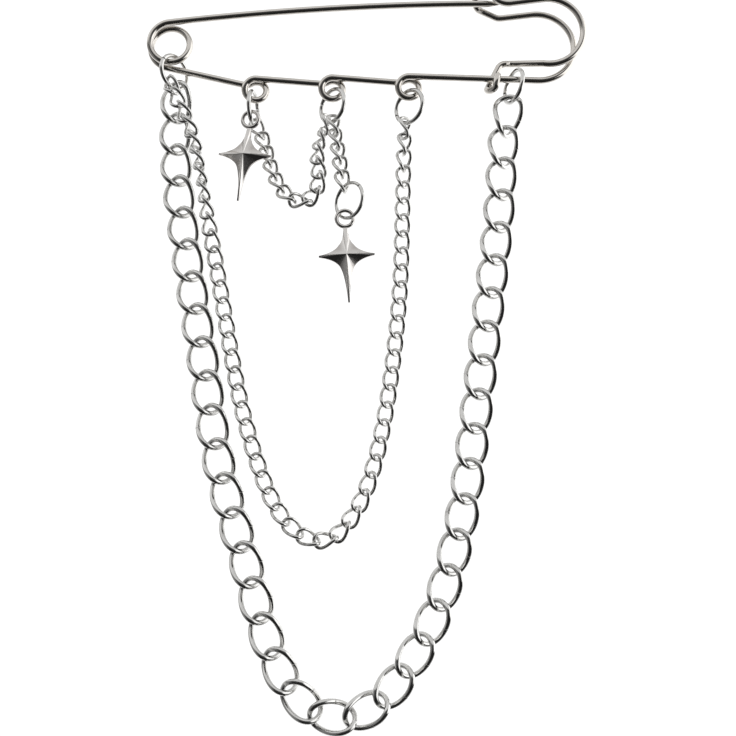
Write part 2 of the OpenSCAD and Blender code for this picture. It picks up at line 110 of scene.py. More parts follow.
# Pin wire: its line, as the part's source gives it
PIN_D, PIN_GAP = 1.15, 0.15
PIN_STEP = PIN_D + PIN_GAP
LOOP_STEP = PIN_STEP + 0.1
GRIP_Y = PIN_D + 0.2
BAR_FRONT_Y = 0.25
BEND_STEP, LINE_STEP, PIN_SIDES = math.radians(5), 1.2, 20
POINT_LEN, POINT_TIP = 3.0, 0.24
DOME_LEN, DOME_END = 0.3, 0.55
NEEDLE_FRONT, NEEDLE_BACK = 23.0, 34.2
NEEDLE_RISE = math.radians(2.8)
BOW_R = 450.0
COIL_R, COIL_FLARE = 3.05, 0.75
LOOP_R, LOOP_ENTRY_R, LOOP_DIP = 1.8, 1.6, 0.45
FIRST_LOOP_X, LOOP_PITCH, LOOP_DROP, LOOP_RISE, BAR_DROP = 19.1, 13.0, 14.8, 0.22, 0.77
BACK_X, BACK_R, FRONT_SHIFT, FRONT_LIFT, FRONT_R = 28.8, 6.38, 1.9, 2.05, 5.85
FOLD_HEIGHT, FOLD_R, FOLD_SHIFT = 1.9, 1.25, 9.1
HOOK_DEPTH, HOOK_SHIFT, HOOK_R = 1.9, 7.9, 0.65

# Bends beside the fold and before the hook, each shift along x, shift along z and radius; then the hook's
# end, its shift along x and its last two heights over the bar
FOLD_IN, FOLD_OUT, HOOK_IN = (3, 1.1, 1.8), (4.2, 1.7, 3), (2.7, -0.4, 1.5)
HOOK_END = (1, 0.5, 0.7)

NEEDLE_END_RISE = NEEDLE_RISE + NEEDLE_BACK / BOW_R
COIL_END_R = COIL_R + COIL_FLARE
LOOP_REACH = LOOP_R + LOOP_ENTRY_R
LOOP_LEAD = math.acos(1 - LOOP_DIP / LOOP_REACH)
BAR_BACK_Y = BAR_FRONT_Y + LOOP_STEP * (1 + math.degrees(LOOP_LEAD) / 360)
BAR_MID_Y = (BAR_FRONT_Y + BAR_BACK_Y) / 2
BAR_END_Z = LOOP_RISE - LOOP_DROP + LOOP_R - BAR_DROP


def needle_point(s):
    """A point of the needle at x about s, on a circle of radius BOW_R under it."""
    a = math.pi / 2 + NEEDLE_RISE - np.asarray(s, float) / BOW_R
    x = BOW_R * math.sin(NEEDLE_RISE) + BOW_R * np.cos(a)
    z = -BOW_R * math.cos(NEEDLE_RISE) + BOW_R * np.sin(a)
    return np.stack([x, 0 * x, z], -1)


def coil_centre():
    """The coil's centre in x and z: its end radius below the needle's back end, square to the needle."""
    end = needle_point(-NEEDLE_BACK)
    return end[0] + COIL_END_R * math.sin(NEEDLE_END_RISE), end[2] - COIL_END_R * math.cos(NEEDLE_END_RISE)


def coil_radius(t):
    """The coil's radius at t from 0 to 1: its inner radius plus flare times (1 + cos 2 pi t) / 2."""
    return COIL_R + COIL_FLARE * (1 + np.cos(2 * np.pi * t)) / 2


def loop_centre(i):
    """Centre in x and z of hanging loop i: a pitch to the right and a rise up from one to the next."""
    return i * LOOP_PITCH - FIRST_LOOP_X, (i - 1) * LOOP_RISE - LOOP_DROP


def run_heading(a, b):
    """Heading of the straight run from circle a to circle b. A positive radius turns to the left."""
    dx, dz = b[0] - a[0], b[1] - a[1]
    lean = (a[2] - b[2]) / math.hypot(dx, dz)
    return math.atan2(dz, dx) - math.acos(min(1, max(-1, lean))) + math.pi / 2


def bend_points(bend, heading, sweep):
    """Points on one bend: centre plus signed radius times (sin h, -cos h), while y goes evenly."""
    x, z, r, _, y_in, y_out = bend
    t = np.linspace(0, 1, max(2, math.ceil(abs(sweep) / BEND_STEP) + 1)) if r else np.zeros(1)
    h = heading + sweep * t
    return np.stack([x + r * np.sin(h), y_in + (y_out - y_in) * t, z - r * np.cos(h)], -1)


def bend_sweep(bend, heading_in, heading_out):
    """Signed turn of a bend, with its extra whole turns."""
    if bend[2] > 0:
        return (heading_out - heading_in) % (2 * math.pi) + 2 * math.pi * bend[3]
    return -((heading_in - heading_out) % (2 * math.pi) + 2 * math.pi * bend[3])


def bar_and_head():
    """Bends of bar, loops, head and hook, each [x, z, signed radius, whole turns, y in, y out]."""
    bends = []
    for i in range(3):
        x, z = loop_centre(i)
        entry_x, entry_z = x - LOOP_REACH * math.sin(LOOP_LEAD), z + LOOP_REACH * math.cos(LOOP_LEAD)
        bends.append([entry_x, entry_z, LOOP_ENTRY_R, 0, BAR_BACK_Y, BAR_BACK_Y])
        bends.append([x, z, -LOOP_R, 1, BAR_BACK_Y, BAR_FRONT_Y])
    back_z = BAR_END_Z + BACK_R
    front_x, front_z = BACK_X + FRONT_SHIFT, back_z + FRONT_LIFT
    fold_x = BACK_X - FOLD_SHIFT
    fold_z = float(needle_point(fold_x)[2]) + FOLD_HEIGHT - FOLD_R
    hook_x, hook_z = BACK_X - HOOK_SHIFT, BAR_END_Z - HOOK_DEPTH + HOOK_R
    behind, before = BAR_FRONT_Y + PIN_STEP, BAR_FRONT_Y - PIN_STEP
    return bends + [
        [BACK_X, back_z, BACK_R, 0, BAR_FRONT_Y, GRIP_Y],
        [fold_x + FOLD_IN[0], back_z + BACK_R + FOLD_IN[1], -FOLD_IN[2], 0, GRIP_Y, GRIP_Y],
        [fold_x, fold_z, -FOLD_R, 0, GRIP_Y, -GRIP_Y],
        [fold_x + FOLD_OUT[0], fold_z + FOLD_OUT[1], FOLD_OUT[2], 0, -GRIP_Y, -GRIP_Y],
        [front_x, front_z, -FRONT_R, 0, -GRIP_Y, -GRIP_Y / 2],
        [hook_x + HOOK_IN[0], front_z - FRONT_R + HOOK_IN[1], HOOK_IN[2], 0, behind, behind],
        [hook_x, hook_z, HOOK_R, 0, behind, before],
        [hook_x + HOOK_END[0], BAR_END_Z + HOOK_END[1], 0, 0, before, before],
        [hook_x + HOOK_END[0], BAR_END_Z + HOOK_END[2], 0, 0, before, before],
    ]


def pin_line():
    """The whole wire's line, from the needle's point through coil, bar and head to the hook's end."""
    stops = np.concatenate([np.linspace(0, 3.2, 17), np.linspace(3.6, NEEDLE_FRONT + NEEDLE_BACK, 60)])
    needle = needle_point(NEEDLE_FRONT - stops)
    coil = [*coil_centre(), COIL_END_R, 1, 0, 0]
    bends = bar_and_head()
    heading = math.pi + NEEDLE_END_RISE
    leave = run_heading(coil, bends[0])
    sweep = bend_sweep(coil, heading, leave)
    t = np.linspace(0, 1, math.ceil(sweep / BEND_STEP) + 1)[1:]
    h = heading + sweep * t
    radius = coil_radius(t)
    turns = np.stack(
        [coil[0] + radius * np.sin(h), PIN_STEP * sweep * t / (2 * np.pi), coil[1] - radius * np.cos(h)], -1
    )
    parts = [needle, turns]
    heading = leave
    for a, b in zip(bends[:-1], bends[1:]):
        leave = run_heading(a, b)
        parts.append(bend_points(a, heading, bend_sweep(a, heading, leave) if a[2] else 0))
        heading = leave
    parts.append(bend_points(bends[-1], heading, 0))
    return np.concatenate(parts)


def even_line(points, spacing):
    """The same line, with points added where two lie further apart than spacing."""
    gaps = np.linalg.norm(np.diff(points, axis=0), axis=1)
    keep = np.concatenate([[True], gaps > 1e-6])
    points = points[keep]
    gaps = gaps[gaps > 1e-6]
    pieces = np.maximum(1, np.ceil(gaps / spacing)).astype(int)
    owner = np.repeat(np.arange(len(gaps)), pieces)
    inner = (np.arange(len(owner)) - np.repeat(np.cumsum(pieces) - pieces, pieces)) / pieces[owner]
    spread = points[owner] + (points[owner + 1] - points[owner]) * inner[:, None]
    return np.concatenate([spread, points[-1:]])


def pin_wire(material):
    """The pin's wire: round sections along its line, a ground point and a domed cut end."""
    line = even_line(pin_line(), LINE_STEP)
    ahead = unit(np.gradient(line, axis=0))
    side = unit(np.stack([-ahead[:, 2], 0 * ahead[:, 0], ahead[:, 0]], -1))
    across = np.cross(ahead, side)
    run = np.concatenate([[0], np.cumsum(np.linalg.norm(np.diff(line, axis=0), axis=1))])
    left = run[-1] - run
    point = POINT_TIP + (1 - POINT_TIP) * np.sin(np.pi / 2 * np.clip(run / POINT_LEN, 0, 1))
    dome = DOME_END + (1 - DOME_END) * np.sqrt(np.clip(left / DOME_LEN, 0, 1))
    radii = PIN_D / 2 * point * dome
    # Painted shade: the colour darkened over the last 0.12 mm at the domed cut end
    marks = {"rub": np.clip(1 - run / 3.4, 0, 1), "painted_shade": 0.5 * np.clip(1 - left / 0.12, 0, 1)}
    return wire_piece("pin_wire_steel", line, side, across, radii, PIN_SIDES, marks, material)


# Jump rings, and the drop chain that carries the large one
RING_D, RING_WIRE_D = 6.5, 0.75
DROP_RING_D, DROP_RING_WIRE_D = 6.65, 0.65
RING_SEAT = PIN_D / 2 + RING_WIRE_D / 2 + 0.12
RING_CUT, RING_EASE, RING_SIDES = 0.1, 0.05, 16
HEAD_RING_SHIFT = 3.8
FINE_LEN, FINE_W, FINE_WIRE_D = 4.36, 2.85, 0.6
DROP_LINKS, DROP_SLACK, DROP_LEAN = 5, 0.65, math.radians(8.5)
DROP_SWING, DROP_GAP = 4, 0.05


def ring_axes(turn, lean):
    """A ring's right (cos t, sin t, 0) and up (-sin t sin n, cos t sin n, cos n), for turn t and lean n."""
    t, n = math.radians(turn), math.radians(lean)
    right = np.array([math.cos(t), math.sin(t), 0])
    return right, np.array([-math.sin(t) * math.sin(n), math.cos(t) * math.sin(n), math.cos(n)])


def ring_point(ring, swing):
    """A point of a ring's line: centre plus radius times (right sin a - up cos a), a from its bottom."""
    centre, turn, lean, r = ring[:4]
    right, up = ring_axes(turn, lean)
    a = math.radians(swing)
    return centre + r * (right * math.sin(a) - up * math.cos(a))


def hung_ring(x, y, z, turn, lean, lift, cut):
    """A ring on the pin's wire at x, y, z: up from there by its seat and lift, then down by its radius."""
    r = (RING_D - RING_WIRE_D) / 2
    centre = np.array([x, y, z + RING_SEAT + lift]) - r * ring_axes(turn, lean)[1]
    return centre, turn, lean, r, RING_WIRE_D, cut


def large_ring(carrier):
    """The ring under the drop chain: down the chain's lean by its links, then held at its own upper left."""
    top = ring_point(carrier, DROP_SWING) + [0, 0, RING_WIRE_D / 2 + DROP_GAP]
    length = DROP_LINKS * (FINE_LEN - 2 * FINE_WIRE_D - DROP_SLACK)
    end = top + length * np.array([math.sin(DROP_LEAN), 0, -math.cos(DROP_LEAN)])
    r, turn, held_at = (DROP_RING_D - DROP_RING_WIRE_D) / 2, -43, 205
    centre = end + [0, 0, DROP_RING_WIRE_D / 2] - ring_point((np.zeros(3), turn, 0, r), held_at)
    return centre, turn, 0, r, DROP_RING_WIRE_D, 40


def all_rings():
    """Each ring's centre, turn, lean, radius, wire and cut angle, from the wire or chain that carries it."""
    coil_x, coil_z = coil_centre()
    (x_1, z_1), (x_2, z_2), (x_3, z_3) = (loop_centre(i) for i in range(3))
    rings = {
        "coil_ring": hung_ring(coil_x + 0.6, BAR_MID_Y, coil_z - coil_radius(0.34), 51, 0, 0.1, 150),
        "loop_ring_1": hung_ring(x_1 - 0.3, BAR_MID_Y, z_1 - LOOP_R, 80, 0, 0.3, 20),
        "loop_ring_2": hung_ring(x_2 + 0.1, BAR_MID_Y, z_2 - LOOP_R, -46, 0, 0.6, 160),
        "loop_ring_3": hung_ring(x_3 + 0.1, BAR_MID_Y, z_3 - LOOP_R, -42, 0, 0.25, 200),
        "head_ring": hung_ring(BACK_X - HEAD_RING_SHIFT, BAR_FRONT_Y, BAR_END_Z, -66, 8, 0.6, 185),
    }
    return {**rings, "drop_ring": large_ring(rings["loop_ring_2"])}


RINGS = all_rings()


def jump_ring(node, material):
    """Round wire along centre + radius (right cos a + up sin a), between the rounded ends at its cut."""
    centre, turn, lean, r, wire_d, cut = RINGS[node]
    half_gap = RING_CUT / 2 / r
    ease = RING_EASE / r
    a = np.concatenate([
        half_gap + ease * np.linspace(0, 1, 4)[:-1],
        np.linspace(half_gap + ease, 2 * np.pi - half_gap - ease, 97),
        2 * np.pi - half_gap - ease * np.linspace(1, 0, 4)[1:],
    ])
    a_cut = a + math.radians(cut)
    right, up = ring_axes(turn, lean)
    outward = np.cos(a_cut)[:, None] * right + np.sin(a_cut)[:, None] * up
    line = centre + r * outward
    ahead = -np.sin(a_cut)[:, None] * right + np.cos(a_cut)[:, None] * up
    across = np.cross(ahead, outward)
    near_cut = np.minimum(a - half_gap, 2 * np.pi - half_gap - a) / ease
    radii = wire_d / 2 * (1 - 0.18 * (1 - np.clip(near_cut, 0, 1)) ** 2)
    # Painted shade: the colour darkened at both cut ends of the ring
    marks = {"tone": np.full(len(a), (centre[0] * 0.37) % 1), "painted_shade": 0.7 * np.clip(1 - near_cut, 0, 1)}
    return wire_piece(node + "_steel", line, outward, across, radii, RING_SIDES, marks, material)


# Curb chains: the part's links give the places, and finer links are swept there
LINK_TWIST = 1.17
SEAM_W = 0.035


def link_frames(node):
    """Centre and axes, longest first, of each link of a chain, from the second moments of its surface."""
    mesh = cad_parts[node].data
    co = np.zeros(len(mesh.vertices) * 3)
    mesh.vertices.foreach_get("co", co)
    mesh.calc_loop_triangles()
    tri = np.zeros(len(mesh.loop_triangles) * 3, int)
    mesh.loop_triangles.foreach_get("vertices", tri)
    co = co.reshape(-1, 3) / MM
    _, weld = np.unique(np.round(co, 4), axis=0, return_inverse=True)
    tri = tri.reshape(-1, 3)
    ends = weld.ravel()[tri]
    label = np.arange(ends.max() + 1)
    while True:
        least = label[ends].min(1)
        new = label.copy()
        for column in range(3):
            np.minimum.at(new, ends[:, column], least)
        if (new == label).all():
            break
        label = new
    owner = np.unique(label[ends[:, 0]], return_inverse=True)[1].ravel()
    count = owner.max() + 1
    corner = co[tri]
    area = np.linalg.norm(np.cross(corner[:, 1] - corner[:, 0], corner[:, 2] - corner[:, 0]), axis=1) / 2
    total = np.bincount(owner, area, count)
    middle = corner.mean(1)
    centre = np.stack([np.bincount(owner, area * middle[:, k], count) for k in range(3)], -1)
    centre /= total[:, None]
    off = corner - centre[owner][:, None]
    both = off.sum(1)
    moment = np.einsum("nvi,nvj->nij", off, off) + np.einsum("ni,nj->nij", both, both)
    spread = np.zeros((count, 3, 3))
    np.add.at(spread, owner, moment * area[:, None, None])
    axes = np.linalg.eigh(spread)[1].transpose(0, 2, 1)[:, ::-1]
    axes[:, 2] = np.cross(axes[:, 0], axes[:, 1])
    return centre, axes


def link_mesh(length, width, wire_d, stations, sides):
    """A curb link of round wire along x = a cos t, y = b sin t, z = -c sin 2t, with a fine seam."""
    a, b, c = (length - wire_d) / 2, (width - wire_d) / 2, LINK_TWIST * wire_d
    seam = np.array([-0.09, -0.045, -0.02, 0, 0.02, 0.045, 0.09]) / a + np.pi / 2
    t = (np.arange(stations) + 0.5) * 2 * np.pi / stations
    t = np.sort(np.concatenate([t[np.abs(t - np.pi / 2) > 0.12 / a], seam]))
    line = np.stack([a * np.cos(t), b * np.sin(t), -c * np.sin(2 * t)], -1)
    ahead = unit(np.stack([-a * np.sin(t), b * np.cos(t), -2 * c * np.cos(2 * t)], -1))
    out = unit(np.stack([b * np.cos(t), a * np.sin(t), 0 * t], -1))
    side = unit(out - (out * ahead).sum(-1, keepdims=True) * ahead)
    across = np.cross(ahead, side)
    gap = (t - np.pi / 2) * a
    seam_depth = np.exp(-((gap / SEAM_W) ** 2))
    radii = wire_d / 2 * (1 - 0.07 * seam_depth)
    run = np.concatenate([[0], np.cumsum(np.linalg.norm(np.diff(line, axis=0), axis=1))])
    rub = np.abs(np.cos(t)) ** 3
    # Painted shade: the colour darkened in the seam's groove
    painted_shade = 0.6 * seam_depth
    return tube_sections(line, side, across, radii, sides), run, rub, painted_shade


# Each chain's link: length, width, wire, points along the wire and sides
FINE_LINK = (FINE_LEN, FINE_W, FINE_WIRE_D, 36, 12)
CHAINS = {
    "long_chain": (7.84, 5.5, 0.9, 48, 16),
    "inner_chain": FINE_LINK,
    "swag_chain": FINE_LINK,
    "drop_chain": FINE_LINK,
}


def curb_chain(node, material, seed):
    """A chain as one mesh: the swept link carried to every link's centre and axes."""
    centre, axes = link_frames(node)
    sections, run, rub, painted_shade = link_mesh(*CHAINS[node])
    stations, sides = sections.shape[:2]
    own = sections.reshape(-1, 3)
    points = centre[:, None] + np.einsum("pk,lkx->lpx", own, axes)
    corners, places = grid_faces(stations, sides, True, True)
    count = len(centre)
    faces = (corners[None] + np.arange(count)[:, None, None] * len(own)).reshape(-1, 4)
    lengths = np.append(run, run[-1] + (run[-1] - run[-2]))
    girth = np.pi * CHAINS[node][2] / sides
    uv = np.stack([lengths[places[..., 0]], places[..., 1] * girth], -1)
    rng = np.random.default_rng(seed)
    shift = rng.uniform(0, 40, (count, 1, 1, 2))
    uv = (uv[None] + shift).reshape(-1, 2)
    marks = {
        "tone": np.repeat(rng.uniform(0, 1, count), len(own)),
        "rub": np.tile(np.repeat(rub, sides), count),
        "painted_shade": np.tile(np.repeat(painted_shade, sides), count),
    }
    return shaded_piece(node + "_steel", points.reshape(-1, 3), faces.tolist(), uv, marks, material)


# Star charms: the ring that holds each, the angle of its place there from the ring's bottom, its tilt in
# its own plane and its turn about the vertical
STARS = {"star_charm_1": ("loop_ring_1", -30, 7.5, -12), "star_charm_2": ("drop_ring", -20, -3, 0)}
STAR_HALF_W, STAR_UP, STAR_DOWN = 4.6, 5.0, 8.0
CORNER = (1.25, 1.8)
TOP_HALF_W, TIP_HALF_W = 0.35, 0.15
HOLLOW_IN, HOLLOW_OUT, CURVE_POINTS = 0.32, 0.24, 13
FRONT_H, BACK_H, EDGE_T = 1.1, 0.8, 0.4
EYE_OUTER_D, EYE_WIRE_D = 3.5, 0.7
EYE_R = (EYE_OUTER_D - EYE_WIRE_D) / 2
EYE_SINK, EYE_STEPS, EYE_SIDES, EYE_HANG = 0.35, 64, 16, 0.12
EYE_HEIGHT = STAR_UP + EYE_OUTER_D / 2 - EYE_SINK


def star_side():
    """The right half of a star's outline: four hollow curves, each from an arm's tip to an inner corner."""
    def curve(tip, corner, first):
        """A hollow curve, (1 - t)^2 first + 2 t (1 - t) middle + t^2 corner, pulled in by its middle."""
        mid = [
            HOLLOW_IN * corner[0] if tip[0] == 0 else corner[0] + HOLLOW_OUT * (tip[0] - corner[0]),
            HOLLOW_IN * corner[1] if tip[1] == 0 else corner[1] + HOLLOW_OUT * (tip[1] - corner[1]),
        ]
        t = np.linspace(0, 1, CURVE_POINTS)[:, None]
        return (1 - t) ** 2 * np.array(first) + 2 * t * (1 - t) * np.array(mid) + t * t * np.array(corner)

    upper, lower = CORNER, (CORNER[0], -CORNER[1])
    return np.concatenate([
        curve((0, STAR_UP), upper, (TOP_HALF_W, STAR_UP)),
        curve((STAR_HALF_W, 0), upper, (STAR_HALF_W, TIP_HALF_W))[::-1][1:],
        curve((STAR_HALF_W, 0), lower, (STAR_HALF_W, -TIP_HALF_W)),
        curve((0, -STAR_DOWN), lower, (TIP_HALF_W, -STAR_DOWN))[::-1][1:],
    ])


def sharpen_ridges(mesh, n, rows):
    """Crisp edges where facets meet: in from each tip and inner corner, and round the rim."""
    ends = np.zeros(len(mesh.edges) * 2, np.int32)
    mesh.edges.foreach_get("vertices", ends)
    ends = np.sort(ends.reshape(-1, 2), axis=1)
    row, column = ends // n, ends % n
    q = n // 8
    turns = np.array([0, q, 2 * q, 2 * q + 1, 3 * q + 1, 4 * q + 1])
    turns = np.concatenate([turns, n - 1 - turns])
    spoke = (row[:, 0] != row[:, 1]) & (column[:, 0] == column[:, 1]) & np.isin(column[:, 0], turns)
    inmost = (ends[:, 1] >= rows * n) & (ends[:, 1] < rows * n + 2) & np.isin(column[:, 0], turns)
    rim = (row[:, 0] == row[:, 1]) & np.isin(row[:, 0], (rows // 2 - 1, rows // 2))
    body = ends[:, 1] < rows * n
    sharp = mesh.attributes.new("sharp_edge", "BOOLEAN", "EDGE")
    sharp.data.foreach_set("value", (body & (spoke | rim)) | inmost)


def star_charm(node, material):
    """A cast star: every outline point runs straight in to the raised middle, front and back."""
    holder, swing, tilt, turn = STARS[node]
    right = star_side()
    outline = np.concatenate([right, right[::-1] * [-1, 1]])
    n = len(outline)
    s = np.linspace(1, 0, 15)[:-1]
    spread = outline[None] * s[:, None, None]

    def half(height):
        """One side's grid: the outline times s, raised evenly from half the edge to height at the middle."""
        y = EDGE_T / 2 + (height - EDGE_T / 2) * (1 - s)
        return np.stack([spread[..., 0], np.broadcast_to(y[:, None], spread.shape[:2]), spread[..., 1]], -1)

    front = half(FRONT_H) * [1, -1, 1]
    back = half(BACK_H)
    rows = np.concatenate([front[::-1], back])
    count = len(rows)
    corners, places = grid_faces(count, n, False, True)
    points = np.concatenate([rows.reshape(-1, 3), [[0, -FRONT_H, 0], [0, BACK_H, 0]]])
    j = np.arange(n)
    k = (j + 1) % n
    caps = np.concatenate([
        np.stack([np.full(n, count * n), k, j], -1),
        np.stack([np.full(n, count * n + 1), (count - 1) * n + j, (count - 1) * n + k], -1),
    ])
    faces = corners.tolist() + caps.tolist()

    u = np.arange(EYE_STEPS) * 2 * np.pi / EYE_STEPS
    out = np.stack([np.cos(u), 0 * u, np.sin(u)], -1)
    across = np.tile([0, 1.0, 0], (EYE_STEPS, 1))
    radii = np.full(EYE_STEPS, EYE_WIRE_D / 2)
    eye = tube_sections(EYE_R * out + [0, 0, EYE_HEIGHT], out, across, radii, EYE_SIDES)
    eye_corners, _ = grid_faces(EYE_STEPS, EYE_SIDES, True, True)
    faces += (eye_corners + len(points)).tolist()
    points = np.concatenate([points, eye.reshape(-1, 3)])

    uv = np.concatenate([points[np.array(face, int)][:, [0, 2]] for face in faces])
    ridge = np.abs(points[:, [0, 2]]).min(1)
    marks = {
        "rub": np.exp(-((ridge / 0.12) ** 2)),
        # Painted shade: the colour darkened away from the arms' ridges towards the valleys, and none above
        # the top tip
        "painted_shade": 0.6 * np.clip(ridge / 1.1, 0, 1) ** 2 * (points[:, 2] < STAR_UP),
    }
    a, b = math.radians(tilt), math.radians(turn)
    lean = np.array([[math.cos(a), 0, math.sin(a)], [0, 1, 0], [-math.sin(a), 0, math.cos(a)]])
    spin = np.array([[math.cos(b), -math.sin(b), 0], [math.sin(b), math.cos(b), 0], [0, 0, 1]])
    hang = EYE_HEIGHT + EYE_HANG * (EYE_R - EYE_WIRE_D / 2 - RINGS[holder][4] / 2)
    placed = (points - [0, 0, hang]) @ (spin @ lean).T + ring_point(RINGS[holder], swing)
    piece = shaded_piece(node + "_alloy", placed, faces, uv, marks, material)
    sharpen_ridges(piece.data, n, count)
    return piece


# Materials
def add(tree, kind, inputs=None, **settings):
    """A new node in a tree, its settings, and its inputs from values or from other nodes' outputs."""
    node = tree.nodes.new(kind)
    for key, value in settings.items():
        setattr(node, key, value)
    for key, value in (inputs or {}).items():
        if isinstance(value, bpy.types.NodeSocket):
            tree.links.new(value, node.inputs[key])
        else:
            node.inputs[key].default_value = value
    return node


def new_group(name, inputs, outputs):
    """An empty shader node group with named inputs, each a (kind, value), and named outputs."""
    group = bpy.data.node_groups.new(name, "ShaderNodeTree")
    for key, (kind, value) in inputs.items():
        socket = group.interface.new_socket(key, in_out="INPUT", socket_type=kind)
        if value is not None:
            socket.default_value = value
    for key, kind in outputs.items():
        group.interface.new_socket(key, in_out="OUTPUT", socket_type=kind)
    return group, group.nodes.new("NodeGroupInput"), group.nodes.new("NodeGroupOutput")


FLOAT, VECTOR, COLOUR = "NodeSocketFloat", "NodeSocketVector", "NodeSocketColor"


def scaled(tree, vector, scale, turn=0.0):
    """A vector turned about Z and then scaled along each axis."""
    return add(
        tree, "ShaderNodeMapping", {"Vector": vector, "Rotation": (0, 0, turn), "Scale": scale}
    ).outputs["Vector"]


def noise(tree, vector, scale, detail=2.0, roughness=0.5):
    """Smooth noise from 0 to 1 on a vector."""
    return add(
        tree, "ShaderNodeTexNoise",
        {"Vector": vector, "Scale": scale, "Detail": detail, "Roughness": roughness},
    ).outputs["Fac"]


def ranged(tree, value, low, high, to_low=0.0, to_high=1.0):
    """A value carried smoothly from one range to another."""
    return add(
        tree, "ShaderNodeMapRange",
        {"Value": value, "From Min": low, "From Max": high, "To Min": to_low, "To Max": to_high},
        interpolation_type="SMOOTHSTEP",
    ).outputs["Result"]


def sum_of(tree, kind, a, b):
    """Two values put together by one sum: ADD, MULTIPLY, MAXIMUM and so on."""
    return add(tree, "ShaderNodeMath", {0: a, 1: b}, operation=kind).outputs[0]


def mixed_colour(tree, share, a, b):
    """Two colours mixed by a share. The node keeps its colour sockets at places 6, 7 and 2."""
    return add(tree, "ShaderNodeMix", {0: share, 6: a, 7: b}, data_type="RGBA").outputs[2]


def hairline_group():
    """Fine scratches: noise drawn out three ways, kept only where it crosses its middle value."""
    group, given, out = new_group(
        "hairlines",
        {"Vector": (VECTOR, None), "Amount": (FLOAT, 0.5)},
        {"Lines": FLOAT},
    )
    lines = None
    for turn, stretch in ((0.35, 0.09), (1.25, 0.06), (2.45, 0.11)):
        run = scaled(group, given.outputs["Vector"], (stretch, 1.0, 1.0), turn)
        wide = noise(group, run, 9.0, 1.0)
        off = sum_of(group, "SUBTRACT", wide, 0.5)
        near = add(group, "ShaderNodeMath", {0: off}, operation="ABSOLUTE").outputs[0]
        line = ranged(group, near, 0.0, 0.012, 1.0, 0.0)
        patch = ranged(group, noise(group, given.outputs["Vector"], 0.9 + stretch), 0.5, 0.62)
        line = sum_of(group, "MULTIPLY", line, patch)
        lines = line if lines is None else sum_of(group, "MAXIMUM", lines, line)
    amount = sum_of(group, "MULTIPLY", lines, given.outputs["Amount"])
    group.links.new(amount, out.inputs["Lines"])
    return group


def drawn_wire_group():
    """Drawing marks: noise stretched along the wire and fine across it, with a soft waviness."""
    group, given, out = new_group(
        "drawn_wire", {"Surface": (VECTOR, None), "Fineness": (FLOAT, 1.0)}, {"Marks": FLOAT, "Waves": FLOAT}
    )
    fine = add(
        group, "ShaderNodeTexNoise",
        {
            "Vector": scaled(group, given.outputs["Surface"], (0.22, 9.0, 1.0)),
            "Scale": given.outputs["Fineness"], "Detail": 3.0, "Roughness": 0.6,
        },
    ).outputs["Fac"]
    waves = noise(group, scaled(group, given.outputs["Surface"], (0.7, 0.9, 1.0)), 1.0, 1.0)
    group.links.new(fine, out.inputs["Marks"])
    group.links.new(waves, out.inputs["Waves"])
    return group


def plating_group():
    """Plated metal's colour: clouds of plating, a change from link to link, and painted shade, a dark colour
    mixed in by the shade mark.
    """
    group, given, out = new_group(
        "plating",
        {
            "Vector": (VECTOR, None), "Tone": (FLOAT, 0.5), "Painted_Shade": (FLOAT, 0.0),
            "Bright": (COLOUR, (0.7, 0.7, 0.7, 1)), "Dull": (COLOUR, (0.5, 0.5, 0.5, 1)),
            # Painted shade: the near-black colour mixed in where shade is painted
            "Painted_Shade_Colour": (COLOUR, (0.1, 0.09, 0.08, 1)),
        },
        {"Color": COLOUR, "Cloud": FLOAT},
    )
    cloud = ranged(group, noise(group, given.outputs["Vector"], 0.55, 4.0, 0.6), 0.3, 0.72)
    shift = ranged(group, given.outputs["Tone"], 0.0, 1.0, -0.22, 0.22)
    share = add(group, "ShaderNodeMath", {0: cloud, 1: shift}, operation="ADD", use_clamp=True).outputs[0]
    plated = mixed_colour(group, share, given.outputs["Bright"], given.outputs["Dull"])
    # Painted shade: the plated colour darkened towards that dark colour by the shade mark
    colour = mixed_colour(group, given.outputs["Painted_Shade"], plated, given.outputs["Painted_Shade_Colour"])
    group.links.new(colour, out.inputs["Color"])
    group.links.new(share, out.inputs["Cloud"])
    return group


def cast_grain_group():
    """Cast skin: small rounded grains under a slower unevenness, with scattered pits."""
    group, given, out = new_group(
        "cast_grain", {"Vector": (VECTOR, None), "Grain": (FLOAT, 1.0)}, {"Height": FLOAT, "Pits": FLOAT}
    )
    grain = add(
        group, "ShaderNodeTexNoise",
        {
            "Vector": given.outputs["Vector"], "Scale": given.outputs["Grain"],
            "Detail": 3.0, "Roughness": 0.55,
        },
    ).outputs["Fac"]
    slow = noise(group, given.outputs["Vector"], 1.1, 1.0)
    pits = add(
        group, "ShaderNodeTexVoronoi", {"Vector": given.outputs["Vector"], "Scale": 2.3}, feature="F1"
    ).outputs["Distance"]
    pit = ranged(group, pits, 0.05, 0.13, 1.0, 0.0)
    height = sum_of(group, "ADD", sum_of(group, "MULTIPLY", grain, 0.35), slow)
    lowered = sum_of(group, "SUBTRACT", height, sum_of(group, "MULTIPLY", pit, 0.5))
    group.links.new(lowered, out.inputs["Height"])
    group.links.new(pit, out.inputs["Pits"])
    return group


hairlines = hairline_group()
drawn_wire = drawn_wire_group()
plating = plating_group()
cast_grain = cast_grain_group()


def grouped(tree, group, inputs):
    """A node that stands for one of the shared groups."""
    return add(tree, "ShaderNodeGroup", inputs, node_tree=group)


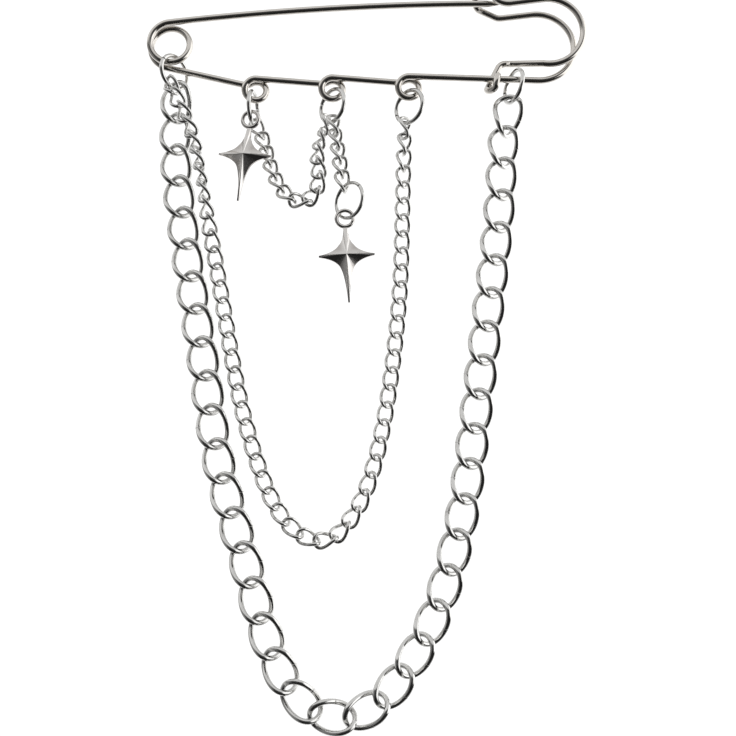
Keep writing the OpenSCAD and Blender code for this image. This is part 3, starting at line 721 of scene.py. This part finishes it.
def new_material(name):
    """A material with its Principled shader, fully metallic, and object coordinates in millimetres."""
    material = bpy.data.materials.new(name)
    material.use_nodes = True
    tree = material.node_tree
    shader = tree.nodes["Principled BSDF"]
    shader.inputs["Metallic"].default_value = 1.0
    place = tree.nodes.new("ShaderNodeTexCoord").outputs["Object"]
    return material, tree, shader, scaled(tree, place, (1000, 1000, 1000))


def attribute(tree, name):
    """A value kept on the piece's own points."""
    return add(tree, "ShaderNodeAttribute", attribute_name=name, attribute_type="GEOMETRY").outputs["Fac"]


def raise_skin(tree, shader, height, distance, strength):
    """The shader's normal bumped by a height."""
    relief = add(tree, "ShaderNodeBump", {"Height": height, "Distance": distance, "Strength": strength})
    tree.links.new(relief.outputs["Normal"], shader.inputs["Normal"])


def wire_steel(name, bright, dull, rough, fineness, scratches, bump):
    """Plated steel wire: drawing marks along the wire, hairline scratches, duller where pieces rub."""
    material, tree, shader, place = new_material(name)
    surface = add(tree, "ShaderNodeUVMap", uv_map="surface_mm").outputs["UV"]
    rub = attribute(tree, "rub")
    lines = grouped(tree, hairlines, {"Vector": surface, "Amount": scratches}).outputs["Lines"]
    wire = grouped(tree, drawn_wire, {"Surface": surface, "Fineness": fineness})
    # Plating colour, with the points' painted shade mixed in towards the default dark colour
    plate = grouped(tree, plating, {
        "Vector": place, "Tone": attribute(tree, "tone"), "Painted_Shade": attribute(tree, "painted_shade"),
        "Bright": (*bright, 1), "Dull": (*dull, 1),
    })
    tree.links.new(plate.outputs["Color"], shader.inputs["Base Color"])
    base = ranged(tree, wire.outputs["Marks"], 0.3, 0.7, rough * 0.7, rough * 1.35)
    cloudy = sum_of(tree, "MULTIPLY", plate.outputs["Cloud"], rough * 0.5)
    worn = sum_of(tree, "MULTIPLY", rub, 0.09)
    total = sum_of(tree, "ADD", sum_of(tree, "ADD", base, cloudy), sum_of(tree, "ADD", worn, lines))
    tree.links.new(total, shader.inputs["Roughness"])
    grooves = sum_of(tree, "MULTIPLY", wire.outputs["Marks"], 0.25)
    height = sum_of(tree, "ADD", grooves, wire.outputs["Waves"])
    height = sum_of(tree, "SUBTRACT", height, sum_of(tree, "MULTIPLY", lines, 0.8))
    raise_skin(tree, shader, height, 0.00001, bump)
    return material


def cast_alloy(name, bright, dull, painted_shade_colour, rough, bump):
    """Cast alloy, tumbled to a smoother polish on its ridges and duller in its valleys, with painted shade
    darkening its colour towards the valleys and in its pits.
    """
    material, tree, shader, place = new_material(name)
    skin = grouped(tree, cast_grain, {"Vector": place, "Grain": 5.5})
    lines = grouped(tree, hairlines, {"Vector": place, "Amount": 0.12}).outputs["Lines"]
    painted_shade = attribute(tree, "painted_shade")
    # Painted shade: the shade mark and half the pits, darkening the colour towards the shade colour
    hollow = sum_of(tree, "MAXIMUM", painted_shade, sum_of(tree, "MULTIPLY", skin.outputs["Pits"], 0.5))
    plate = grouped(tree, plating, {
        "Vector": place, "Tone": attribute(tree, "tone"), "Painted_Shade": hollow,
        "Bright": (*bright, 1), "Dull": (*dull, 1), "Painted_Shade_Colour": (*painted_shade_colour, 1),
    })
    tree.links.new(plate.outputs["Color"], shader.inputs["Base Color"])
    cloudy = sum_of(tree, "MULTIPLY", plate.outputs["Cloud"], 0.06)
    matt = sum_of(tree, "ADD", sum_of(tree, "MULTIPLY", painted_shade, 0.12), cloudy)
    worn = sum_of(tree, "MULTIPLY", attribute(tree, "rub"), 0.1)
    polish = sum_of(tree, "SUBTRACT", sum_of(tree, "ADD", matt, rough), worn)
    tree.links.new(sum_of(tree, "ADD", polish, lines), shader.inputs["Roughness"])
    raise_skin(tree, shader, skin.outputs["Height"], 0.00003, bump)
    return material


pin_steel = wire_steel("pin_steel", (0.66, 0.63, 0.59), (0.58, 0.555, 0.52), 0.11, 1.0, 0.1, 0.35)
ring_steel = wire_steel("ring_steel", (0.69, 0.685, 0.67), (0.6, 0.595, 0.58), 0.1, 1.3, 0.14, 0.35)
chain_steel = wire_steel("chain_steel", (0.7, 0.695, 0.68), (0.59, 0.585, 0.57), 0.09, 1.3, 0.16, 0.4)
# The star's third colour is the painted shade's colour in its valleys and pits
star_alloy = cast_alloy("star_alloy", (0.68, 0.66, 0.64), (0.6, 0.58, 0.56), (0.38, 0.35, 0.33), 0.13, 0.35)

# Pieces
made = [(pin_wire(pin_steel), "pin_wire", "pin_steel")]
made += [(jump_ring(node, ring_steel), node, "ring_steel") for node in RINGS]
made += [(curb_chain(node, chain_steel, 11 + k), node, "chain_steel") for k, node in enumerate(CHAINS)]
made += [(star_charm(node, star_alloy), node, "star_alloy") for node in STARS]
for piece, node, slot in made:
    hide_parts(node)
    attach(piece, "root")

# Floor, camera, light
floor_mesh = bpy.data.meshes.new("floor")
floor_mesh.from_pydata([(-4, -4, -0.5), (4, -4, -0.5), (4, 4, -0.5), (-4, 4, -0.5)], [], [(0, 1, 2, 3)])
floor = bpy.data.objects.new("floor", floor_mesh)
floor.visible_glossy = False
bpy.context.scene.collection.objects.link(floor)
floor_paint = bpy.data.materials.new("floor_paint")
floor_paint.use_nodes = True
floor_shader = floor_paint.node_tree.nodes["Principled BSDF"]
floor_shader.inputs["Base Color"].default_value = (0.92, 0.92, 0.92, 1)
floor_shader.inputs["Roughness"].default_value = 0.9
floor_mesh.materials.append(floor_paint)

camera_data = bpy.data.cameras.new("camera")
camera_data.angle = math.radians(36)
camera_data.clip_start = 0.01
camera = bpy.data.objects.new("camera", camera_data)
camera.location = (0, -0.1778, -0.1002)
camera.rotation_euler = (math.radians(101.71), 0, 0)
bpy.context.scene.collection.objects.link(camera)
bpy.context.scene.camera = camera


def studio():
    """White all round for the eye and the floor. Polished metal sees a sweep behind that goes from grey
    to white, a light ceiling, a bright window on the right, a dim wall on the left, and a dark room in
    front and below."""
    world = bpy.data.worlds.new("studio")
    world.use_nodes = True
    tree = world.node_tree
    way = tree.nodes.new("ShaderNodeTexCoord").outputs["Generated"]
    split = add(tree, "ShaderNodeSeparateXYZ", {"Vector": way}).outputs
    x, y, z = split["X"], split["Y"], split["Z"]
    room = ranged(tree, z, -0.4, -0.1, 0.02, 0.06)
    ceiling = ranged(tree, z, 0.27, 0.5, 0.0, 0.78)
    left = ranged(tree, x, -0.9, -0.55, 0.22, 0.0)
    light = sum_of(tree, "ADD", sum_of(tree, "ADD", room, ceiling), left)
    window = sum_of(tree, "MULTIPLY", ranged(tree, x, 0.60, 0.78), ranged(tree, z, -0.5, -0.3))
    window = sum_of(tree, "MULTIPLY", window, 1.7)
    light = sum_of(tree, "MAXIMUM", light, window)
    grey = ranged(tree, y, 0.09, 0.32, 0.0, 0.7)
    white = ranged(tree, y, 0.55, 0.8, 0.0, 0.55)
    light = sum_of(tree, "MAXIMUM", light, sum_of(tree, "ADD", grey, white))
    ray = tree.nodes.new("ShaderNodeLightPath")
    plain = sum_of(tree, "SUBTRACT", 1.0, ray.outputs["Is Glossy Ray"])
    plain = sum_of(tree, "MULTIPLY", plain, 1.15)
    seen = sum_of(tree, "MULTIPLY", light, ray.outputs["Is Glossy Ray"])
    background = tree.nodes["Background"]
    background.inputs["Color"].default_value = (1, 1, 1, 1)
    tree.links.new(sum_of(tree, "ADD", plain, seen), background.inputs["Strength"])
    return world


bpy.context.scene.world = studio()
bpy.context.scene.view_settings.view_transform = "Standard"
